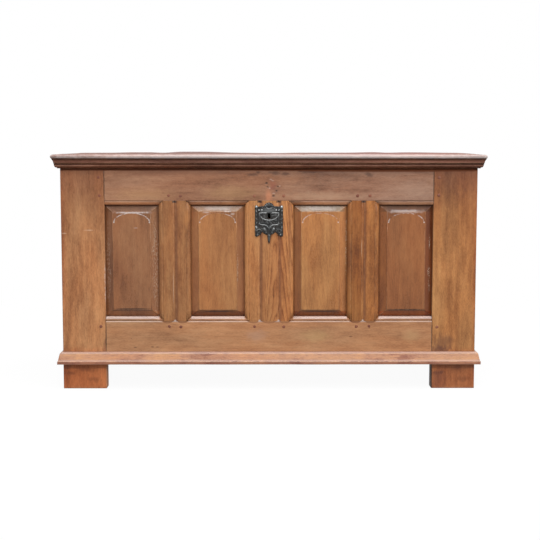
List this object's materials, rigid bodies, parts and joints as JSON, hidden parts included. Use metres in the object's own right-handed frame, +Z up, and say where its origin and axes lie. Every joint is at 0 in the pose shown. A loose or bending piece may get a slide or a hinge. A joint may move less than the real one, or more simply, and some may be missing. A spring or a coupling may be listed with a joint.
{
  "type": "blanket chest",
  "caption": "Joined oak blanket chest on stile feet, with fielded arched panels, moulded lid and plinth, strap hinges, and an iron escutcheon over a hook-bolt lock.",
  "frame": {"origin": "on the floor, under the middle of the chest's bounding box", "axes": "+X along the chest to its right as seen from the front, +Y from the front to the back, +Z up"},
  "size_m": [1.373, 0.6014, 0.7495],
  "materials": {
    "oak": "old waxed oak, satin",
    "panel_oak": "old waxed oak, satin, darker in the bevels",
    "lid_oak": "old waxed oak, darker, worn along the edge",
    "plinth_oak": "old waxed oak, lighter",
    "inner_oak": "dry unfinished oak",
    "iron": "old burnished wrought iron"
  },
  "bodies": {
    "chest": {"back_bottom_rail": "inner_oak", "back_muntin_centre": "inner_oak", "back_muntin_left": "inner_oak", "back_muntin_right": "inner_oak", "back_panel_1": "inner_oak", "back_panel_2": "inner_oak", "back_panel_3": "inner_oak", "back_panel_4": "inner_oak", "back_stile_left": "oak", "back_stile_right": "oak", "back_top_rail": "inner_oak", "escutcheon": "iron", "floor_board_1": "inner_oak", "floor_board_2": "inner_oak", "floor_board_3": "inner_oak", "floor_board_4": "inner_oak", "floor_board_5": "inner_oak", "front_bottom_rail": "oak", "front_muntin_centre": "oak", "front_muntin_left": "oak", "front_muntin_right": "oak", "front_panel_1": "panel_oak", "front_panel_2": "panel_oak", "front_panel_3": "panel_oak", "front_panel_4": "panel_oak", "front_stile_left": "oak", "front_stile_right": "oak", "front_top_rail": "oak", "hinge_back_leaf_left": "iron", "hinge_back_leaf_right": "iron", "hinge_pin_left": "iron", "hinge_pin_right": "iron", "left_side_bottom_rail": "oak", "left_side_muntin_centre": "oak", "left_side_panel_back": "panel_oak", "left_side_panel_front": "panel_oak", "left_side_top_rail": "oak", "lock_case": "iron", "plinth_moulding_front": "plinth_oak", "plinth_moulding_left": "plinth_oak", "plinth_moulding_right": "plinth_oak", "right_side_bottom_rail": "oak", "right_side_muntin_centre": "oak", "right_side_panel_back": "panel_oak", "right_side_panel_front": "panel_oak", "right_side_top_rail": "oak"},
    "lid": {"hinge_strap_left": "iron", "hinge_strap_right": "iron", "lid_batten_left": "inner_oak", "lid_batten_right": "inner_oak", "lid_board_back": "lid_oak", "lid_board_front": "lid_oak", "lid_board_middle": "lid_oak", "lid_moulding_front": "lid_oak", "lid_moulding_left": "lid_oak", "lid_moulding_right": "lid_oak", "lock_hasp": "iron"},
    "bolt": {"lock_bolt": "iron"}
  },
  "joints": [
    {"name": "lid_hinge", "type": "hinge", "parent": "chest", "child": "lid", "pos_m": [0, 0.29425, 0.7212], "axis": [-1, 0, 0], "range_deg": [0, 100]},
    {"name": "bolt_slide", "type": "slide", "parent": "chest", "child": "bolt", "axis": [1, 0, 0], "range_m": [0, 0.012]}
  ]
}
